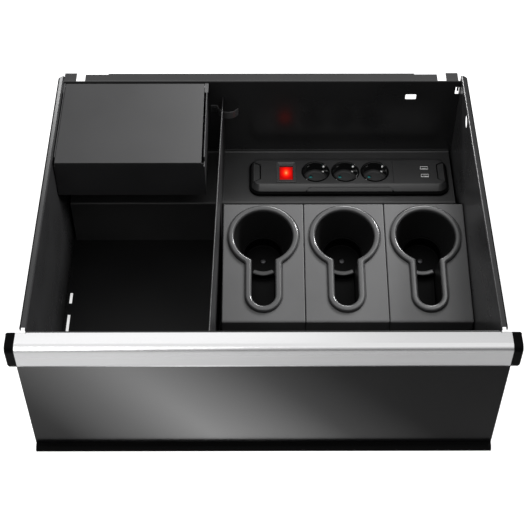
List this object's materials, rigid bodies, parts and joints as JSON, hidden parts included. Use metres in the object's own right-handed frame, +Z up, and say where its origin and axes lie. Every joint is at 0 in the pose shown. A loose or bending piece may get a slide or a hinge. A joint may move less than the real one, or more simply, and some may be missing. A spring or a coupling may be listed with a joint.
{
  "type": "electrified tool drawer",
  "caption": "Deep black sheet-steel tool drawer with an aluminium handle rail, keyhole tool holders, a lidded cable box and a built-in power strip with sockets, switch and charging ports.",
  "frame": {"origin": "middle of the bounding box at the bottom of the drawer", "axes": "+X to the right along the handle, +Y from the front panel to the back wall, +Z up"},
  "size_m": [0.633, 0.501, 0.236],
  "materials": {
    "powder_black": "satin black powder coat on sheet steel",
    "panel_gloss": "gloss black paint",
    "rail_aluminium": "fine satin anodised",
    "black_plastic": "fine grained black plastic",
    "strip_plastic": "smooth black plastic",
    "rocker_red": "lit translucent red plastic",
    "shutter_teal": "smooth teal plastic",
    "contact_metal": "bare",
    "fastener_steel": "zinc plated",
    "board_green": "circuit board"
  },
  "bodies": {
    "drawer": {"side_wall_left": "powder_black", "side_wall_right": "powder_black", "back_wall": "powder_black", "inner_front": "powder_black", "floor_panel": "powder_black", "rear_shelf": "powder_black", "divider": "powder_black", "cable_box": "powder_black", "cable_box_front": "powder_black", "front_panel": "panel_gloss", "handle_rail": "rail_aluminium", "handle_cap_left": "black_plastic", "handle_cap_right": "black_plastic", "bottom_trim": "black_plastic", "holder_plate_left": "black_plastic", "holder_plate_middle": "black_plastic", "holder_plate_right": "black_plastic", "holder_cup_left": "black_plastic", "holder_cup_middle": "black_plastic", "holder_cup_right": "black_plastic", "holder_posts": "black_plastic", "cable_clip": "black_plastic", "strip_base": "black_plastic", "cable_gland": "black_plastic", "strip_cover": "strip_plastic", "socket_1": "strip_plastic", "socket_2": "strip_plastic", "socket_3": "strip_plastic", "switch_bezel": "strip_plastic", "switch_body": "strip_plastic", "live_bar": "contact_metal", "neutral_bar": "contact_metal", "earth_clips": "contact_metal", "earth_plate": "contact_metal", "switch_blades": "contact_metal", "handle_screws": "fastener_steel", "front_panel_screws": "fastener_steel", "shelf_rivets": "fastener_steel", "cable_clip_rivet": "fastener_steel", "cable_box_rivets": "fastener_steel", "lid_hinge_pins": "fastener_steel", "holder_screws": "fastener_steel", "strip_screws": "fastener_steel", "shutter_springs": "fastener_steel", "usb_port_front": "fastener_steel", "usb_port_rear": "fastener_steel", "usb_board": "board_green"},
    "lid": {"cable_box_lid": "powder_black"},
    "rocker": {"switch_rocker": "rocker_red"},
    "shutter_1": {"socket_shutter_1": "shutter_teal"},
    "shutter_2": {"socket_shutter_2": "shutter_teal"},
    "shutter_3": {"socket_shutter_3": "shutter_teal"}
  },
  "joints": [
    {"name": "lid_hinge", "type": "hinge", "parent": "drawer", "child": "lid", "pos_m": [-0.1866, 0.227, 0.2302], "axis": [-1, 0, 0], "range_deg": [0, 100]},
    {"name": "rocker_pivot", "type": "hinge", "parent": "drawer", "child": "rocker", "pos_m": [0.035, 0.1719, 0.101], "axis": [1, 0, 0], "range_deg": [-22, 0]},
    {"name": "shutter_1_turn", "type": "hinge", "parent": "drawer", "child": "shutter_1", "pos_m": [0.0795, 0.1735, 0.0865], "axis": [0, 0, 1], "range_deg": [0, 36], "stiffness_Nm_per_rad": 0.002},
    {"name": "shutter_2_turn", "type": "hinge", "parent": "drawer", "child": "shutter_2", "pos_m": [0.1241, 0.1735, 0.0865], "axis": [0, 0, 1], "range_deg": [0, 36], "stiffness_Nm_per_rad": 0.002},
    {"name": "shutter_3_turn", "type": "hinge", "parent": "drawer", "child": "shutter_3", "pos_m": [0.1687, 0.1735, 0.0865], "axis": [0, 0, 1], "range_deg": [0, 36], "stiffness_Nm_per_rad": 0.002}
  ]
}
